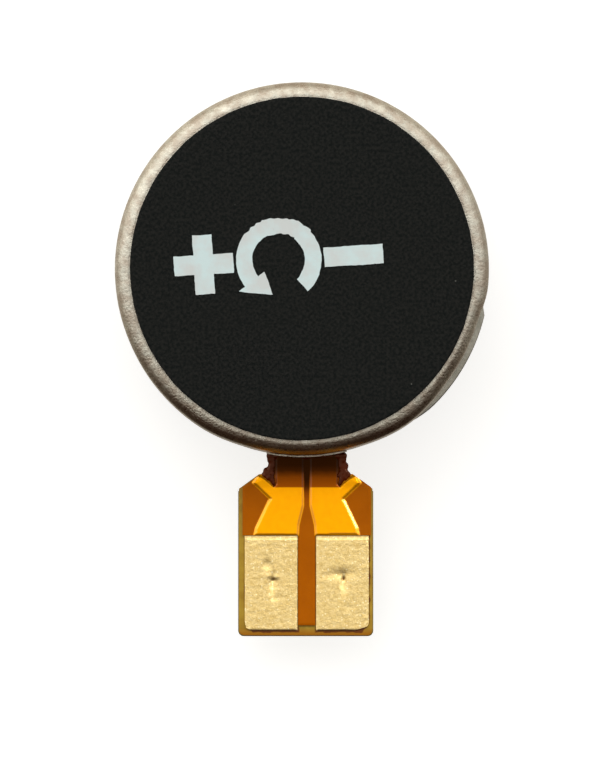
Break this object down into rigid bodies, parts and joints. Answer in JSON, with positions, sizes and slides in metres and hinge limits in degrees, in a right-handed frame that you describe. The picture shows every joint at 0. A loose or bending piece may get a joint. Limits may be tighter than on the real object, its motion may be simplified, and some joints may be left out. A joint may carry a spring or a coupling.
{
  "type": "vibration coin motor",
  "caption": "Flat round vibration motor in a sealed metal can with a foam pad, an off-centre rotor inside, and a short flexible circuit tail with gold contacts.",
  "frame": {"origin": "on the spin axis, at the underside of the base plate", "axes": "+Z is the spin axis, from the base plate to the foam pad; the tail points to -Y"},
  "size_m": [0.01, 0.0148, 0.003],
  "materials": {
    "satin_nickel": "satin nickel plate on drawn steel, warm tone",
    "zinc_steel": "satin plated steel sheet",
    "shaft_steel": "ground steel pin",
    "black_foam": "matte black closed-cell foam with a fabric-like face",
    "clear_adhesive": "pale adhesive film",
    "magnet_nickel": "nickel plated sintered magnet",
    "grey_bond": "grey structural adhesive",
    "amber_film": "amber polyimide film",
    "amber_coverlay": "glossy orange-amber coverlay over copper",
    "rolled_copper": "rolled copper foil",
    "matte_gold": "fine grained matte gold plating",
    "olive_stiffener": "olive-amber stiffener sheet",
    "amber_resin": "clear amber sealing resin",
    "phosphor_bronze": "bright spring bronze",
    "tin_solder": "bright solder",
    "washer_film": "dark low-friction film",
    "sintered_bronze": "oil-filled sintered bronze",
    "green_board": "green resin board",
    "segment_gold": "polished gold plating",
    "coil_enamel": "enamelled copper wire",
    "tungsten": "sintered tungsten alloy",
    "rotor_plastic": "dark moulded resin"
  },
  "bodies": {
    "root": {"case": "satin_nickel", "base_plate": "zinc_steel", "shaft": "shaft_steel", "foam_pad": "black_foam", "pad_adhesive": "clear_adhesive", "exit_sealant": "amber_resin", "ring_magnet": "magnet_nickel", "magnet_bond": "grey_bond", "lower_washer": "washer_film", "upper_washer": "washer_film", "flex_film_body": "amber_film", "coverlay_body": "amber_coverlay", "trace_left_body": "rolled_copper", "trace_right_body": "rolled_copper", "brush_left": "phosphor_bronze", "brush_right": "phosphor_bronze", "brush_solder_left": "tin_solder", "brush_solder_right": "tin_solder"},
    "rotor": {"rotor_bearing": "sintered_bronze", "rotor_board": "green_board", "commutator_segment_1": "segment_gold", "commutator_segment_2": "segment_gold", "commutator_segment_3": "segment_gold", "commutator_segment_4": "segment_gold", "commutator_segment_5": "segment_gold", "commutator_segment_6": "segment_gold", "counterweight": "tungsten", "rotor_resin": "rotor_plastic", "coil_left": "coil_enamel", "coil_right": "coil_enamel", "coil_solder_1": "tin_solder", "coil_solder_2": "tin_solder", "coil_solder_3": "tin_solder"},
    "tail": {"flex_film_tail": "amber_film", "coverlay_tail": "amber_coverlay", "stiffener": "olive_stiffener", "trace_left_tail": "rolled_copper", "trace_right_tail": "rolled_copper", "contact_pad_left": "matte_gold", "contact_pad_right": "matte_gold"}
  },
  "joints": [
    {"name": "rotor_spin", "type": "hinge", "parent": "root", "child": "rotor", "pos_m": [0, 0, 0], "axis": [0, 0, 1], "continuous": true},
    {"name": "tail_bend", "type": "hinge", "parent": "root", "child": "tail", "pos_m": [0, -0.00545, 0.00031], "axis": [-1, 0, 0], "range_deg": [-25, 25], "stiffness_Nm_per_rad": 0.000006}
  ]
}
